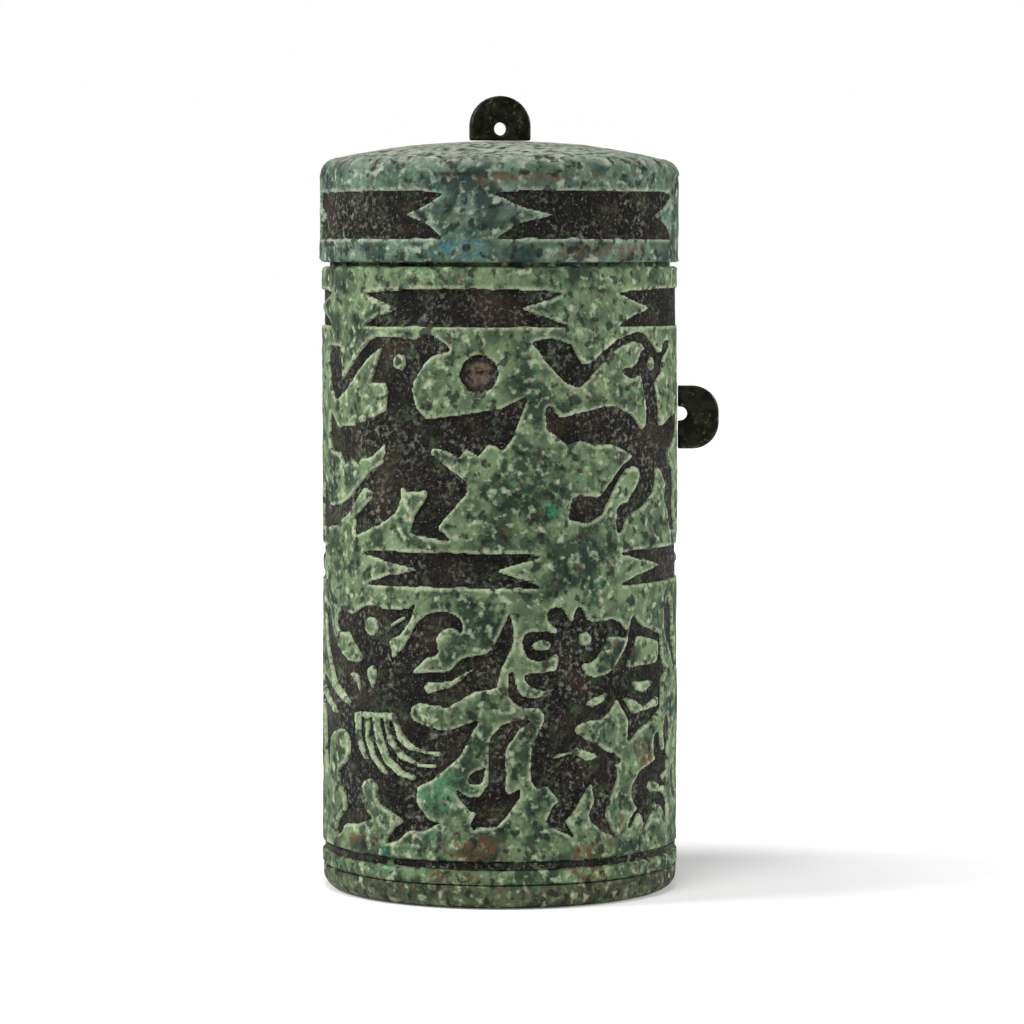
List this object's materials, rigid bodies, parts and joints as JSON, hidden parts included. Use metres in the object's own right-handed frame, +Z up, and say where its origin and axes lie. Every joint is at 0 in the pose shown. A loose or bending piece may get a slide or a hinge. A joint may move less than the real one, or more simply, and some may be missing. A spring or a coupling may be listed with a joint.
{
  "type": "cylindrical lidded box",
  "caption": "Tall cylindrical cast-bronze box with a lift-off domed lid, cord ears and a dark paste-inlaid figure frieze.",
  "frame": {"origin": "centre of the flat underside", "axes": "+Z up along the box's axis, -Y towards the front that the picture shows, the side ear on +X"},
  "size_m": [0.0994, 0.0894, 0.1973],
  "materials": {
    "patinated_bronze": "matte corroded green patina",
    "dark_bronze": "smooth dark patina",
    "dark_paste": "granular matte paste"
  },
  "bodies": {
    "vessel": {"vessel_wall": "patinated_bronze", "base_plate": "patinated_bronze", "body_lug": "dark_bronze", "upper_band_inlay_1": "dark_paste", "upper_band_inlay_2": "dark_paste", "upper_band_inlay_3": "dark_paste", "upper_band_inlay_4": "dark_paste", "middle_band_inlay_1": "dark_paste", "middle_band_inlay_2": "dark_paste", "middle_band_inlay_3": "dark_paste", "middle_band_inlay_4": "dark_paste", "winged_runner_inlay_1": "dark_paste", "winged_runner_inlay_2": "dark_paste", "disc_inlay_1": "dark_paste", "disc_inlay_2": "dark_paste", "winged_walker_inlay_1": "dark_paste", "winged_walker_inlay_2": "dark_paste", "skirted_bird_inlay_1": "dark_paste", "skirted_bird_inlay_2": "dark_paste", "beast_inlay_1": "dark_paste", "beast_inlay_2": "dark_paste", "plume_inlay_1": "dark_paste", "plume_inlay_2": "dark_paste", "drop_inlay_1": "dark_paste", "drop_inlay_2": "dark_paste", "seated_animal_inlay_1": "dark_paste", "seated_animal_inlay_2": "dark_paste", "upper_scroll_inlay_1": "dark_paste", "upper_scroll_inlay_2": "dark_paste", "lower_scroll_inlay_1": "dark_paste", "lower_scroll_inlay_2": "dark_paste", "foot_ring_inlay": "dark_paste"},
    "lid": {"lid_shell": "patinated_bronze", "lid_lug": "dark_bronze", "lid_inlay_1": "dark_paste", "lid_inlay_2": "dark_paste", "lid_inlay_3": "dark_paste", "lid_inlay_4": "dark_paste"}
  },
  "joints": [
    {"name": "lid_lift", "type": "slide", "parent": "vessel", "child": "lid", "axis": [0, 0, 1], "range_m": [0, 0.08]}
  ]
}
